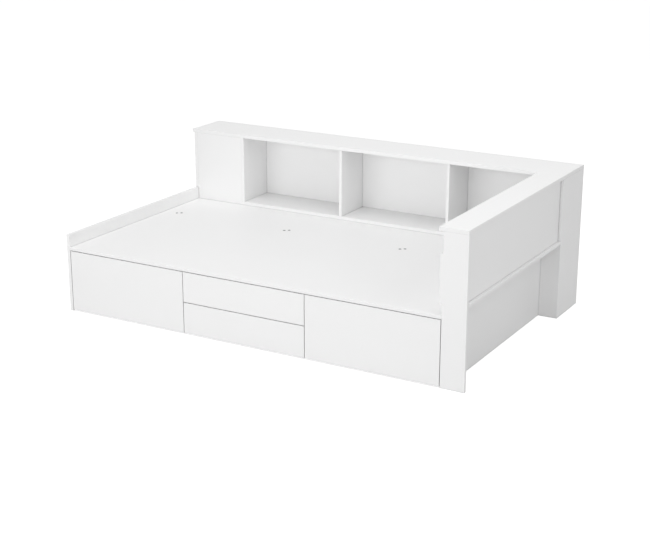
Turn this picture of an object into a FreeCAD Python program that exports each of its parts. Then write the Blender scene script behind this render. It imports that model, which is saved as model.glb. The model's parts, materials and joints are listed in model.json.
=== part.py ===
import FreeCAD, Part
import os

# A low daybed with drawers under the mattress, a bookcase along its back and a
# hollow headboard across its head end.  Sizes are millimetres.
# X runs from the foot end to the head end, Y from the drawer fronts to the back, Z up.
Vector = FreeCAD.Vector

# ---------------------------------------------------------------- driving sizes
BED_LENGTH = 2092.0          # foot panel's outer face to headboard's outer face
BED_DEPTH = 1325.0           # drawer fronts to the back of the bookcase
BED_HEIGHT = 700.0           # floor to the top of the caps

THIN_BOARD = 15.0            # most boards
THICK_BOARD = 18.0           # foot and head panels, caps and bookcase floor
EDGE_EASE = 1.0              # rounding along the edges that a hand meets

PLATFORM_TOP = 320.0         # the face that the mattress lies on
RIM_TOP = 383.0              # top of the foot panel and of the headboard's base board
BOOKCASE_DEPTH = 250.0       # front of the cubbies to the back of the bookcase
BACK_PANEL_INSET = 12.0      # back panel, in from the back edges of the bookcase's ends
BACK_PANEL_DROP = 80.0       # how far the back panel hangs below the platform's face
COMPARTMENT_WIDTH = 313.0    # the closed end of the bookcase, over both its sides
FIRST_CUBBY_WIDTH = 576.0
SECOND_CUBBY_WIDTH = 584.0
CAP_OVERHANG = 12.0          # how far the long cap stands past the foot panel

POST_WIDTH = 113.0           # front post of the headboard
HEADBOARD_DEPTH = 133.0      # mattress side of the headboard to its outer face
OUTER_PANEL_INSET = 15.0     # outer panel, behind the posts' outer face
OUTER_PANEL_GAP = 3.0        # shadow gap between the outer panel's ends and the posts
INNER_BOARD_TOP = 582.0      # lower lip of the open niche over the pillow

FRONT_GAP = 3.0              # reveal round each drawer front
FLOOR_GAP = 5.0              # floor to the lower edge of the drawer fronts
MIDDLE_FRONT_WIDTH = 644.0   # fronts of the two stacked drawers; the others share the rest
STACK_SPLIT = 156.0          # height of the reveal between the two stacked drawers
PUSH_GAP = 3.0               # room behind the fronts for the push that opens them

BOX_BOARD = 12.0             # drawer sides and backs
BOX_BOTTOM = 5.0             # drawer bottoms, slid into grooves
GROOVE_DEPTH = 6.0
GROOVE_PLAY = 0.2            # slack of a drawer bottom in its grooves, each way
GROOVE_HEIGHT = 10.0         # lower edge of a drawer side to its bottom
BOX_FLOOR_GAP = 18.0         # front's lower edge to the drawer box
BOX_HEAD_GAP = 24.0          # front's upper edge to the drawer box

BATTEN = 20.0                # square battens under the platform
SLIDE_LENGTH = 700.0
SLIDE_HEIGHT = 45.0
SLIDE_WIDTH = 12.7           # cabinet side to drawer side
SLIDE_STEEL = 1.2
SLIDE_PLAY = 0.4             # running gap between two members of a slide
SLIDE_RACE = 3.0             # ball race on the carrier, above and below
SLIDE_SETBACK = 6.0          # drawer front to the slide's front end
SLIDE_REAR_ROOM = 22.0       # slide's rear end to the latch's plunger tip

LATCH_LENGTH = 45.0          # push latch, panel to plunger tip
LATCH_WIDTH = 20.0
LATCH_HEIGHT = 16.0
PLUNGER_RADIUS = 4.0
PLUNGER_PLAY = 0.05          # running fit of the plunger in its housing
PLUNGER_REACH = 5.0          # tip standing out of the housing
PLUNGER_TRAVEL = 3.0
PLUNGER_TAIL = 30.0          # shank inside the housing
PLUNGER_TIP_GAP = 0.3        # plunger tip to the back of its drawer
PLUNGER_TIP_RADIUS = 5.5
PLUNGER_TIP_LENGTH = 1.5

BRACKET_WIDTH = 42.0         # steel angles that hold the platform down
BRACKET_LEG = 32.0
BRACKET_STEEL = 2.0
BRACKET_PLACE = 86.0         # foot-side edge of a platform board to the middle of its bracket
BOLT_SPACING = 20.0          # the two bolts of a bracket, apart along the bed
BOLT_STAGGER = 14.0          # and apart across it
BOLT_RADIUS = 3.0
BOLT_PLAY = 0.25
BOLT_HEAD_RADIUS = 7.5       # flat round heads
BOLT_HEAD_HEIGHT = 2.5
BOLT_HEAD_SINK = 0.4         # head below the platform's face
BOLT_HEAD_EASE = 0.5         # chamfer round the head
BOLT_SOCKET = 2.4            # socket for a hexagon key, centre to corner
BOLT_SOCKET_DEPTH = 2.2
NUT_RADIUS = 5.7
NUT_HEIGHT = 5.0

CAM_RADIUS = 7.5
CAM_SKIN = 3.0               # wood left under a cam lock
CAM_SETBACK = 34.0           # board edge to the centre of its cam lock
CAM_BOLT_RADIUS = 3.0
CAM_BOLT_THREAD = 11.0       # the end that is screwed into the face of a board
CAM_DRIVE = 2.0              # width and depth of the screwdriver slot
DOWEL_RADIUS = 4.0
DOWEL_SHORT = 10.0           # dowel in the face of a board
DOWEL_LONG = 20.0            # dowel in the edge of a board
DOWEL_PITCH = 32.0           # cam bolt to its dowel
WIDE_MARGIN = 60.0           # end of a joint to its first cam bolt
NARROW_MARGIN = 40.0
MARGIN_OFFSET = 16.0         # keeps bolts from the two faces of a board apart

# ---------------------------------------------------------------- places that follow
foot_inner = THICK_BOARD
post_left = BED_LENGTH - POST_WIDTH
head_panel_right = post_left + THICK_BOARD
headboard_left = BED_LENGTH - HEADBOARD_DEPTH
inner_board_right = headboard_left + THIN_BOARD
outer_panel_right = BED_LENGTH - OUTER_PANEL_INSET
outer_panel_left = outer_panel_right - THIN_BOARD
outer_panel_front = THIN_BOARD + OUTER_PANEL_GAP
tower_inner = BED_LENGTH - THIN_BOARD

frame_front = THIN_BOARD + PUSH_GAP
bookcase_front = BED_DEPTH - BOOKCASE_DEPTH
rear_post_front = bookcase_front - THIN_BOARD
outer_panel_back = rear_post_front - OUTER_PANEL_GAP
back_panel_back = BED_DEPTH - BACK_PANEL_INSET
back_panel_front = back_panel_back - THIN_BOARD
latch_tip = THIN_BOARD + SLIDE_SETBACK + SLIDE_LENGTH + SLIDE_REAR_ROOM
drawer_back = latch_tip - PLUNGER_TIP_GAP
bay_back_front = latch_tip + LATCH_LENGTH
bay_back_back = bay_back_front + THIN_BOARD

platform_bottom = PLATFORM_TOP - THIN_BOARD
base_board_bottom = RIM_TOP - THIN_BOARD
shelf_top = PLATFORM_TOP + THICK_BOARD
niche_shelf_bottom = INNER_BOARD_TOP - THIN_BOARD
cap_bottom = BED_HEIGHT - THICK_BOARD

compartment_side_left = COMPARTMENT_WIDTH - THIN_BOARD
first_divider = COMPARTMENT_WIDTH + FIRST_CUBBY_WIDTH
second_divider = first_divider + THIN_BOARD + SECOND_CUBBY_WIDTH

side_front_width = (post_left - foot_inner - 4 * FRONT_GAP - MIDDLE_FRONT_WIDTH) / 2
fronts_top = platform_bottom - FRONT_GAP
first_split = foot_inner + FRONT_GAP + side_front_width + FRONT_GAP / 2
second_split = first_split + MIDDLE_FRONT_WIDTH + FRONT_GAP

origin_shift = Vector(-(BED_LENGTH - CAP_OVERHANG) / 2, -BED_DEPTH / 2, 0)

RIGHT = Vector(1, 0, 0)
LEFT = Vector(-1, 0, 0)
BACK = Vector(0, 1, 0)
FRONT = Vector(0, -1, 0)
UP = Vector(0, 0, 1)
DOWN = Vector(0, 0, -1)

nodes = {}                   # node name: the pieces in it


# ---------------------------------------------------------------- building blocks
def block(x, y, z):
    """A box between two places along each axis."""
    corner = Vector(min(x), min(y), min(z))
    return Part.makeBox(abs(x[1] - x[0]), abs(y[1] - y[0]), abs(z[1] - z[0]), corner)


def rod(start, direction, length, radius):
    """A round bar."""
    return Part.makeCylinder(radius, length, start, direction)


class Piece:
    """One solid of the bed, with the holes that its fasteners need."""

    def __init__(self, node, solid):
        self.solid = solid
        self.holes = []
        nodes.setdefault(node, []).append(self)

    def thickness(self, direction):
        """Size of the piece along one axis."""
        box = self.solid.BoundBox
        return abs(direction.dot(Vector(box.XLength, box.YLength, box.ZLength)))

    def finished(self):
        """The solid with its holes, moved to the bed's own origin."""
        shape = self.solid.cut(self.holes) if self.holes else self.solid.copy()
        shape.translate(origin_shift)
        return shape.Solids[0]


def lies_on(point, side, box):
    """Whether a point lies on the named side of a box."""
    distances = {
        "left": point.x - box.XMin,
        "right": point.x - box.XMax,
        "front": point.y - box.YMin,
        "back": point.y - box.YMax,
        "bottom": point.z - box.ZMin,
        "top": point.z - box.ZMax,
    }
    return abs(distances[side]) < 1e-6


def eased(solid, corners):
    """Round the edges named by the two sides that meet there."""
    edges = []
    for edge in solid.Edges:
        for corner in corners:
            first, second = corner.split()
            middle = edge.CenterOfMass
            if lies_on(middle, first, solid.BoundBox) and lies_on(middle, second, solid.BoundBox):
                edges.append(edge)
    return solid.makeFillet(EDGE_EASE, edges) if edges else solid


def board(node, x, y, z, corners=()):
    """A flat board, with its exposed corners eased."""
    return Piece(node, eased(block(x, y, z), corners))


# ---------------------------------------------------------------- fasteners
def dowel(face_board, edge_board, place, inward, short=DOWEL_SHORT):
    """A wooden dowel across the joint at a place."""
    pin = rod(place - inward * short, inward, short + DOWEL_LONG, DOWEL_RADIUS)
    Piece("dowels", pin)
    face_board.holes.append(pin)
    edge_board.holes.append(pin)


def cam_bolt(face_board, edge_board, place, inward, cam_side):
    """A bolt screwed into one board and its cam lock in the other.

    The bolt crosses the joint at a place and points inward, into the edge board,
    whose face on the cam side shows the lock.
    """
    half = edge_board.thickness(cam_side) / 2
    centre = place + inward * CAM_SETBACK
    bolt = rod(place - inward * CAM_BOLT_THREAD, inward, CAM_BOLT_THREAD + CAM_SETBACK, CAM_BOLT_RADIUS)
    pocket = rod(centre + cam_side * (CAM_SKIN - half), cam_side, 2 * half - CAM_SKIN, CAM_RADIUS)
    drive = (-CAM_DRIVE / 2, CAM_DRIVE / 2)
    slot = block((-CAM_RADIUS, CAM_RADIUS), drive, drive)
    slot.Placement = FreeCAD.Placement(centre + cam_side * (half - CAM_DRIVE / 2),
                                       FreeCAD.Rotation(RIGHT, inward))
    Piece("cam_bolts", bolt)
    Piece("cam_locks", pocket.cut([bolt, slot]))
    face_board.holes.append(bolt)
    edge_board.holes += [bolt, pocket]


def joint(face_board, edge_board, start, end, inward, cam_side, count=2, margin=WIDE_MARGIN):
    """Cam bolts, each with its dowel, spread between the two ends of a joint."""
    length = (end - start).Length
    along = (end - start) * (1 / length)
    step = (length - 2 * margin) / max(count - 1, 1)
    for index in range(count):
        place = start + along * (margin + index * step)
        towards_middle = DOWEL_PITCH if index < count / 2 else -DOWEL_PITCH
        cam_bolt(face_board, edge_board, place, inward, cam_side)
        dowel(face_board, edge_board, place + along * towards_middle, inward)


def edge_dowels(first_board, second_board, start, end, inward):
    """Two dowels that line up the edges of two boards."""
    along = (end - start) * (1 / (end - start).Length)
    for place in (start + along * NARROW_MARGIN, end - along * NARROW_MARGIN):
        dowel(first_board, second_board, place, inward, short=DOWEL_LONG)


# ---------------------------------------------------------------- boards of the base
foot_panel = board("foot_side_panel", (0, foot_inner), (0, bookcase_front), (0, RIM_TOP),
                   ("front left", "front right", "top left", "top right", "top front"))
head_panel = board("head_base_panel", (post_left, head_panel_right), (THIN_BOARD, rear_post_front),
                   (0, base_board_bottom))
base_back = board("base_back_board", (foot_inner, post_left), (rear_post_front, bookcase_front),
                  (0, platform_bottom))
partitions = []
for split in (first_split, second_split):
    thickness = (split - THIN_BOARD / 2, split + THIN_BOARD / 2)
    partitions.append(board("base_partitions", thickness, (frame_front, rear_post_front),
                            (0, platform_bottom)))

# Each drawer bay: its two faces, and the boards that they belong to.
bays = [
    (foot_inner, first_split - THIN_BOARD / 2, foot_panel, partitions[0]),
    (first_split + THIN_BOARD / 2, second_split - THIN_BOARD / 2, partitions[0], partitions[1]),
    (second_split + THIN_BOARD / 2, post_left, partitions[1], head_panel),
]
bay_backs = []
for bay_left, bay_right, left_board, right_board in bays:
    bay_backs.append(board("bay_back_panels", (bay_left, bay_right), (bay_back_front, bay_back_back),
                           (0, platform_bottom)))

platforms = []
platform_ends = {"foot": (foot_inner, first_split), "middle": (first_split, second_split),
                 "head": (second_split, post_left)}
for name, ends in platform_ends.items():
    platforms.append(board("platform_board_" + name, ends, (0, bookcase_front),
                           (platform_bottom, PLATFORM_TOP), ("front top", "front bottom")))

for batten_ends in ((foot_inner, foot_inner + BATTEN), (post_left - BATTEN, post_left)):
    for batten_run in ((frame_front, bay_back_front), (bay_back_back, rear_post_front)):
        board("platform_battens", batten_ends, batten_run, (platform_bottom - BATTEN, platform_bottom))

# ---------------------------------------------------------------- boards of the bookcase
end_panel = board("bookcase_end_panel", (0, foot_inner), (bookcase_front, BED_DEPTH), (0, cap_bottom),
                  ("front left", "back left", "back right", "top front"))
compartment_side = board("compartment_side_panel", (compartment_side_left, COMPARTMENT_WIDTH),
                         (bookcase_front, back_panel_front), (0, cap_bottom), ("front right",))
compartment_front = board("compartment_front_panel", (foot_inner, compartment_side_left),
                          (bookcase_front, bookcase_front + THIN_BOARD), (PLATFORM_TOP, cap_bottom),
                          ("front left", "front right", "top front"))
bookcase_shelf = board("bookcase_floor_shelf", (COMPARTMENT_WIDTH, tower_inner),
                       (bookcase_front, back_panel_front), (PLATFORM_TOP, shelf_top), ("front top",))
bookcase_back = board("bookcase_back_panel", (foot_inner, tower_inner),
                      (back_panel_front, back_panel_back), (PLATFORM_TOP - BACK_PANEL_DROP, cap_bottom))
dividers = []
supports = []
for place in (first_divider, second_divider):
    dividers.append(board("cubby_dividers", (place, place + THIN_BOARD),
                          (bookcase_front, back_panel_front), (shelf_top, cap_bottom),
                          ("front left", "front right")))
    supports.append(board("shelf_support_panels", (place, place + THIN_BOARD),
                          (bookcase_front, back_panel_front), (0, PLATFORM_TOP)))
tower_side = board("tower_side_panel", (tower_inner, BED_LENGTH), (rear_post_front, BED_DEPTH),
                   (0, cap_bottom), ("front right", "back left", "back right"))

# ---------------------------------------------------------------- boards of the headboard
front_post = board("front_post", (post_left, BED_LENGTH), (0, THIN_BOARD), (0, cap_bottom),
                   ("front left", "front right", "back right", "top front"))
rear_post = board("rear_post", (post_left, tower_inner), (rear_post_front, bookcase_front), (0, cap_bottom))
base_board = board("headboard_base_board", (headboard_left, BED_LENGTH), (THIN_BOARD, rear_post_front),
                   (base_board_bottom, RIM_TOP),
                   ("top left", "bottom left", "top right", "bottom right"))
inner_board = board("headboard_inner_board", (headboard_left, inner_board_right),
                    (THIN_BOARD, bookcase_front), (RIM_TOP, INNER_BOARD_TOP),
                    ("top left", "front left", "front right"))
niche_shelf = board("headboard_niche_shelf", (inner_board_right, outer_panel_left),
                    (THIN_BOARD, rear_post_front), (niche_shelf_bottom, INNER_BOARD_TOP))
outer_panel = board("headboard_outer_panel", (outer_panel_left, outer_panel_right),
                    (outer_panel_front, outer_panel_back), (RIM_TOP, cap_bottom),
                    ("front right", "back right"))

# ---------------------------------------------------------------- caps
long_cap = board("long_cap", (-CAP_OVERHANG, BED_LENGTH), (bookcase_front, BED_DEPTH),
                 (cap_bottom, BED_HEIGHT),
                 ("top left", "top back", "top right", "bottom left", "bottom back", "bottom right",
                  "front left", "back left", "back right", "bottom front"))
short_cap = board("short_cap", (headboard_left, BED_LENGTH), (0, bookcase_front),
                  (cap_bottom, BED_HEIGHT),
                  ("top left", "top front", "top right", "bottom left", "bottom front", "bottom right",
                   "front left", "front right"))


# ---------------------------------------------------------------- joints between the boards
def join_base():
    """Fasten the base's panels to each other and to the posts."""
    back_y = rear_post_front + THIN_BOARD / 2
    for split, partition in zip((first_split, second_split), partitions):
        joint(base_back, partition, Vector(split, rear_post_front, 0),
              Vector(split, rear_post_front, platform_bottom), FRONT, LEFT)
    joint(foot_panel, base_back, Vector(foot_inner, back_y, 0),
          Vector(foot_inner, back_y, platform_bottom), RIGHT, FRONT)
    edge_dowels(base_back, rear_post, Vector(post_left, back_y, 0),
                Vector(post_left, back_y, platform_bottom), RIGHT)
    panel_x = post_left + THICK_BOARD / 2
    joint(front_post, head_panel, Vector(panel_x, THIN_BOARD, 0),
          Vector(panel_x, THIN_BOARD, base_board_bottom), BACK, LEFT)
    joint(rear_post, head_panel, Vector(panel_x, rear_post_front, 0),
          Vector(panel_x, rear_post_front, base_board_bottom), FRONT, LEFT)
    bay_y = bay_back_front + THIN_BOARD / 2
    for bay, bay_back in zip(bays, bay_backs):
        bay_left, bay_right, left_board, right_board = bay
        joint(left_board, bay_back, Vector(bay_left, bay_y, 0),
              Vector(bay_left, bay_y, platform_bottom), RIGHT, BACK)
        joint(right_board, bay_back, Vector(bay_right, bay_y, 0),
              Vector(bay_right, bay_y, platform_bottom), LEFT, BACK, margin=WIDE_MARGIN + MARGIN_OFFSET)


def join_bookcase():
    """Fasten the bookcase's boards to each other and to the base."""
    shelf_z = PLATFORM_TOP + THICK_BOARD / 2
    back_y = back_panel_front + THIN_BOARD / 2
    front_y = bookcase_front + THIN_BOARD / 2
    side_x = compartment_side_left + THIN_BOARD / 2
    joint(compartment_side, bookcase_shelf, Vector(COMPARTMENT_WIDTH, bookcase_front, shelf_z),
          Vector(COMPARTMENT_WIDTH, back_panel_front, shelf_z), RIGHT, DOWN, margin=NARROW_MARGIN)
    joint(tower_side, bookcase_shelf, Vector(tower_inner, bookcase_front, shelf_z),
          Vector(tower_inner, back_panel_front, shelf_z), LEFT, DOWN, margin=NARROW_MARGIN)
    joint(end_panel, bookcase_back, Vector(foot_inner, back_y, PLATFORM_TOP),
          Vector(foot_inner, back_y, cap_bottom), RIGHT, BACK)
    joint(tower_side, bookcase_back, Vector(tower_inner, back_y, PLATFORM_TOP),
          Vector(tower_inner, back_y, cap_bottom), LEFT, BACK)
    joint(end_panel, compartment_front, Vector(foot_inner, front_y, PLATFORM_TOP),
          Vector(foot_inner, front_y, cap_bottom), RIGHT, BACK)
    joint(compartment_side, compartment_front, Vector(compartment_side_left, front_y, PLATFORM_TOP),
          Vector(compartment_side_left, front_y, cap_bottom), LEFT, BACK)
    joint(base_back, compartment_side, Vector(side_x, bookcase_front, 0),
          Vector(side_x, bookcase_front, platform_bottom), BACK, LEFT)
    joint(bookcase_back, compartment_side, Vector(side_x, back_panel_front, PLATFORM_TOP),
          Vector(side_x, back_panel_front, cap_bottom), FRONT, LEFT)
    edge_dowels(foot_panel, end_panel, Vector(foot_inner / 2, bookcase_front, 0),
                Vector(foot_inner / 2, bookcase_front, RIM_TOP), BACK)
    for place, divider, support in zip((first_divider, second_divider), dividers, supports):
        middle = place + THIN_BOARD / 2
        joint(bookcase_shelf, divider, Vector(middle, bookcase_front, shelf_top),
              Vector(middle, back_panel_front, shelf_top), UP, LEFT, margin=NARROW_MARGIN)
        joint(bookcase_shelf, support, Vector(middle, bookcase_front, PLATFORM_TOP),
              Vector(middle, back_panel_front, PLATFORM_TOP), DOWN, LEFT,
              margin=NARROW_MARGIN + MARGIN_OFFSET)
        joint(bookcase_back, divider, Vector(middle, back_panel_front, shelf_top),
              Vector(middle, back_panel_front, cap_bottom), FRONT, LEFT, margin=2 * WIDE_MARGIN)
        joint(base_back, support, Vector(middle, bookcase_front, 0),
              Vector(middle, bookcase_front, platform_bottom), BACK, LEFT)


def join_headboard():
    """Fasten the headboard's boards to each other and to the posts."""
    post_x = (post_left + outer_panel_left) / 2
    inner_x = headboard_left + THIN_BOARD / 2
    outer_x = outer_panel_left + THIN_BOARD / 2
    base_z = base_board_bottom + THIN_BOARD / 2
    shelf_z = niche_shelf_bottom + THIN_BOARD / 2
    rear_y = rear_post_front + THIN_BOARD / 2
    joint(tower_side, rear_post, Vector(tower_inner, rear_y, 0),
          Vector(tower_inner, rear_y, base_board_bottom), LEFT, BACK)
    joint(tower_side, rear_post, Vector(tower_inner, rear_y, RIM_TOP),
          Vector(tower_inner, rear_y, cap_bottom), LEFT, BACK, margin=WIDE_MARGIN + MARGIN_OFFSET)
    for post, post_face, inward in ((front_post, THIN_BOARD, BACK), (rear_post, rear_post_front, FRONT)):
        for edge_board, height in ((base_board, base_z), (niche_shelf, shelf_z)):
            cam_bolt(post, edge_board, Vector(post_x, post_face, height), inward, DOWN)
            dowel(post, edge_board, Vector(post_x - DOWEL_PITCH, post_face, height), inward)
    for upright, middle, cam_side in ((inner_board, inner_x, RIGHT), (outer_panel, outer_x, LEFT)):
        joint(base_board, upright, Vector(middle, THIN_BOARD, RIM_TOP),
              Vector(middle, rear_post_front, RIM_TOP), UP, cam_side, count=3,
              margin=2 * WIDE_MARGIN)
    joint(inner_board, niche_shelf, Vector(inner_board_right, THIN_BOARD, shelf_z),
          Vector(inner_board_right, rear_post_front, shelf_z), RIGHT, DOWN, count=3, margin=3 * WIDE_MARGIN)
    joint(outer_panel, niche_shelf, Vector(outer_panel_left, THIN_BOARD, shelf_z),
          Vector(outer_panel_left, rear_post_front, shelf_z), LEFT, DOWN, count=3,
          margin=3 * WIDE_MARGIN)


def join_caps():
    """Fasten the two caps to the boards under them."""
    def cap_joint(cap, upright, start, end, cam_side, count=2, margin=WIDE_MARGIN):
        joint(cap, upright, Vector(start[0], start[1], cap_bottom), Vector(end[0], end[1], cap_bottom),
              DOWN, cam_side, count, margin)

    back_y = back_panel_front + THIN_BOARD / 2
    end_x = foot_inner / 2
    side_x = compartment_side_left + THIN_BOARD / 2
    tower_x = tower_inner + THIN_BOARD / 2
    outer_x = outer_panel_left + THIN_BOARD / 2
    cap_joint(long_cap, end_panel, (end_x, bookcase_front), (end_x, BED_DEPTH), RIGHT)
    cap_joint(long_cap, tower_side, (tower_x, bookcase_front), (tower_x, BED_DEPTH), LEFT)
    cap_joint(long_cap, bookcase_back, (foot_inner, back_y), (tower_inner, back_y), BACK, count=4)
    cap_joint(long_cap, compartment_side, (side_x, bookcase_front), (side_x, back_panel_front), LEFT,
              margin=NARROW_MARGIN)
    for place, divider in zip((first_divider, second_divider), dividers):
        middle = place + THIN_BOARD / 2
        cap_joint(long_cap, divider, (middle, bookcase_front), (middle, back_panel_front), LEFT,
                  margin=NARROW_MARGIN)
    cap_joint(short_cap, outer_panel, (outer_x, outer_panel_front), (outer_x, outer_panel_back), LEFT,
              count=4)
    post_x = (post_left + outer_panel_left) / 2
    for post, middle_y, cam_side in ((front_post, THIN_BOARD / 2, BACK),
                                     (rear_post, rear_post_front + THIN_BOARD / 2, FRONT)):
        cam_bolt(short_cap, post, Vector(post_x, middle_y, cap_bottom), DOWN, cam_side)
        dowel(short_cap, post, Vector(post_x + DOWEL_PITCH, middle_y, cap_bottom), DOWN)
    cap_z = cap_bottom + THICK_BOARD / 2
    edge_dowels(long_cap, short_cap, Vector(headboard_left, bookcase_front, cap_z),
                Vector(tower_inner, bookcase_front, cap_z), FRONT)


# ---------------------------------------------------------------- platform brackets
def hold_platform_down():
    """A steel angle in each bay, with two staggered bolts through the platform above it."""
    bolt_y = bay_back_front - BRACKET_LEG / 2
    for ends, platform in zip(platform_ends.values(), platforms):
        middle = ends[0] + BRACKET_PLACE
        width = (middle - BRACKET_WIDTH / 2, middle + BRACKET_WIDTH / 2)
        flat_leg = block(width, (bay_back_front - BRACKET_LEG, bay_back_front),
                         (platform_bottom - BRACKET_STEEL, platform_bottom))
        upright_leg = block(width, (bay_back_front - BRACKET_STEEL, bay_back_front),
                            (platform_bottom - BRACKET_LEG, platform_bottom))
        angle = Piece("platform_brackets", flat_leg.fuse(upright_leg).removeSplitter())
        for side in (-0.5, 0.5):
            place = Vector(middle + side * BOLT_SPACING, bolt_y + side * BOLT_STAGGER, PLATFORM_TOP)
            platform_bolt(platform, angle, place)


def platform_bolt(platform, angle, place):
    """A flat-headed bolt let into the platform's face, with its nut under the angle."""
    head_top = place - UP * BOLT_HEAD_SINK
    head_foot = head_top - UP * BOLT_HEAD_HEIGHT
    nut_top = place - UP * (THIN_BOARD + BRACKET_STEEL)
    nut_foot = nut_top - UP * NUT_HEIGHT
    shank = rod(nut_foot, UP, head_foot.z - nut_foot.z, BOLT_RADIUS)
    seat = rod(head_foot, UP, BOLT_HEAD_HEIGHT + BOLT_HEAD_SINK, BOLT_HEAD_RADIUS)
    straight = BOLT_HEAD_HEIGHT - BOLT_HEAD_EASE
    edge = Part.makeCone(BOLT_HEAD_RADIUS, BOLT_HEAD_RADIUS - BOLT_HEAD_EASE, BOLT_HEAD_EASE,
                         head_foot + UP * straight, UP)
    head = rod(head_foot, UP, straight, BOLT_HEAD_RADIUS).fuse(edge)
    socket = hexagon(head_top - UP * BOLT_SOCKET_DEPTH, BOLT_SOCKET, BOLT_SOCKET_DEPTH)
    Piece("platform_bolts_and_nuts", shank.fuse(head).cut(socket))
    Piece("platform_bolts_and_nuts", hexagon(nut_foot, NUT_RADIUS, NUT_HEIGHT).cut(shank))
    hole = rod(nut_foot, UP, place.z - nut_foot.z, BOLT_RADIUS + BOLT_PLAY)
    platform.holes += [hole, seat]
    angle.holes.append(hole)


def hexagon(foot, radius, height):
    """An upright six-sided prism."""
    corners = []
    for index in range(7):
        turn = FreeCAD.Rotation(UP, 60 * index)
        corners.append(foot + turn.multVec(RIGHT * radius))
    return Part.Face(Part.makePolygon(corners)).extrude(UP * height)


# ---------------------------------------------------------------- drawers
def slide_section(side, out, near, far, half_height, y):
    """A bar of slide between two distances from the cabinet side, around its middle height."""
    x = (side.x + out * near, side.x + out * far)
    return block(x, y, (side.z - half_height, side.z + half_height))


def make_slide(name, side, out):
    """Cabinet member, carrier and drawer member of one ball-bearing slide.

    side is the cabinet face at the slide's middle height; out is +1 or -1 along X,
    towards the drawer.
    """
    y = (THIN_BOARD + SLIDE_SETBACK, THIN_BOARD + SLIDE_SETBACK + SLIDE_LENGTH)
    lip = SLIDE_WIDTH - SLIDE_STEEL - SLIDE_PLAY
    half = SLIDE_HEIGHT / 2
    cabinet = slide_section(side, out, 0, lip, half, y)
    cavity = slide_section(side, out, SLIDE_STEEL, lip, half - SLIDE_STEEL, y)
    Piece("slide_cabinet_members", cabinet.cut(cavity))

    carrier_near = SLIDE_STEEL + SLIDE_PLAY
    carrier_half = half - SLIDE_STEEL - SLIDE_PLAY
    carrier = slide_section(side, out, carrier_near, lip, carrier_half, y)
    cavity = slide_section(side, out, carrier_near + SLIDE_STEEL, lip, carrier_half - SLIDE_RACE, y)
    Piece("drawer_" + name + "_slide_carriers", carrier.cut(cavity))

    member_near = carrier_near + SLIDE_STEEL + SLIDE_PLAY
    member_half = carrier_half - SLIDE_RACE - SLIDE_PLAY
    member = slide_section(side, out, member_near, SLIDE_WIDTH, member_half, y)
    cavity = slide_section(side, out, member_near, SLIDE_WIDTH - SLIDE_STEEL, member_half - SLIDE_STEEL, y)
    Piece("drawer_" + name + "_slide_members", member.cut(cavity))


def make_drawer(name, bay, front_x, z_low, z_high):
    """Front, sides, back and bottom of a drawer, its slides and its push latch."""
    prefix = "drawer_" + name
    bay_left, bay_right = bay[0], bay[1]
    left = bay_left + SLIDE_WIDTH
    right = bay_right - SLIDE_WIDTH
    inner_left = left + BOX_BOARD
    inner_right = right - BOX_BOARD
    box_low = z_low + BOX_FLOOR_GAP
    box_high = z_high - BOX_HEAD_GAP
    floor_low = box_low + GROOVE_HEIGHT
    floor_high = floor_low + BOX_BOTTOM
    run = (THIN_BOARD, drawer_back)

    groove = block((inner_left - GROOVE_DEPTH, inner_right + GROOVE_DEPTH),
                   (THIN_BOARD - GROOVE_DEPTH, drawer_back),
                   (floor_low - GROOVE_PLAY, floor_high + GROOVE_PLAY))
    front = board(prefix + "_front", front_x, (0, THIN_BOARD),
                  (z_low, z_high), ("front left", "front right", "front top", "front bottom"))
    front.holes.append(groove)
    for ends in ((left, inner_left), (inner_right, right)):
        side = board(prefix + "_sides", ends, run, (box_low, box_high), ("top left", "top right"))
        side.holes.append(groove)
    board(prefix + "_back", (inner_left, inner_right), (drawer_back - BOX_BOARD, drawer_back),
          (floor_high, box_high), ("top front", "top back"))
    board(prefix + "_bottom",
          (inner_left - GROOVE_DEPTH + GROOVE_PLAY, inner_right + GROOVE_DEPTH - GROOVE_PLAY),
          (THIN_BOARD - GROOVE_DEPTH + GROOVE_PLAY, drawer_back), (floor_low, floor_high))

    middle_z = (box_low + box_high) / 2
    make_slide(name, Vector(bay_left, 0, middle_z), 1)
    make_slide(name, Vector(bay_right, 0, middle_z), -1)
    make_latch(prefix, Vector((left + right) / 2, latch_tip, middle_z))


def make_latch(prefix, tip):
    """A push latch on the panel behind a drawer; tip is the front end of its plunger."""
    mouth = tip + BACK * PLUNGER_REACH
    housing = block((mouth.x - LATCH_WIDTH / 2, mouth.x + LATCH_WIDTH / 2), (mouth.y, bay_back_front),
                    (mouth.z - LATCH_HEIGHT / 2, mouth.z + LATCH_HEIGHT / 2))
    bore = rod(mouth, BACK, PLUNGER_TAIL + PLUNGER_TRAVEL + PLUNGER_TIP_GAP, PLUNGER_RADIUS + PLUNGER_PLAY)
    Piece("latch_housings", housing.cut(bore))
    disc = rod(tip, BACK, PLUNGER_TIP_LENGTH, PLUNGER_TIP_RADIUS)
    shank = rod(tip, BACK, PLUNGER_REACH + PLUNGER_TAIL, PLUNGER_RADIUS)
    Piece(prefix + "_latch_plunger", disc.fuse(shank).removeSplitter())


join_base()
join_bookcase()
join_headboard()
join_caps()
hold_platform_down()

half_gap = FRONT_GAP / 2
foot_front = (foot_inner + FRONT_GAP, first_split - half_gap)
middle_front = (first_split + half_gap, second_split - half_gap)
head_front = (second_split + half_gap, post_left - FRONT_GAP)
make_drawer("foot", bays[0], foot_front, FLOOR_GAP, fronts_top)
make_drawer("lower", bays[1], middle_front, FLOOR_GAP, STACK_SPLIT - half_gap)
make_drawer("upper", bays[1], middle_front, STACK_SPLIT + half_gap, fronts_top)
make_drawer("head", bays[2], head_front, FLOOR_GAP, fronts_top)

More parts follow.
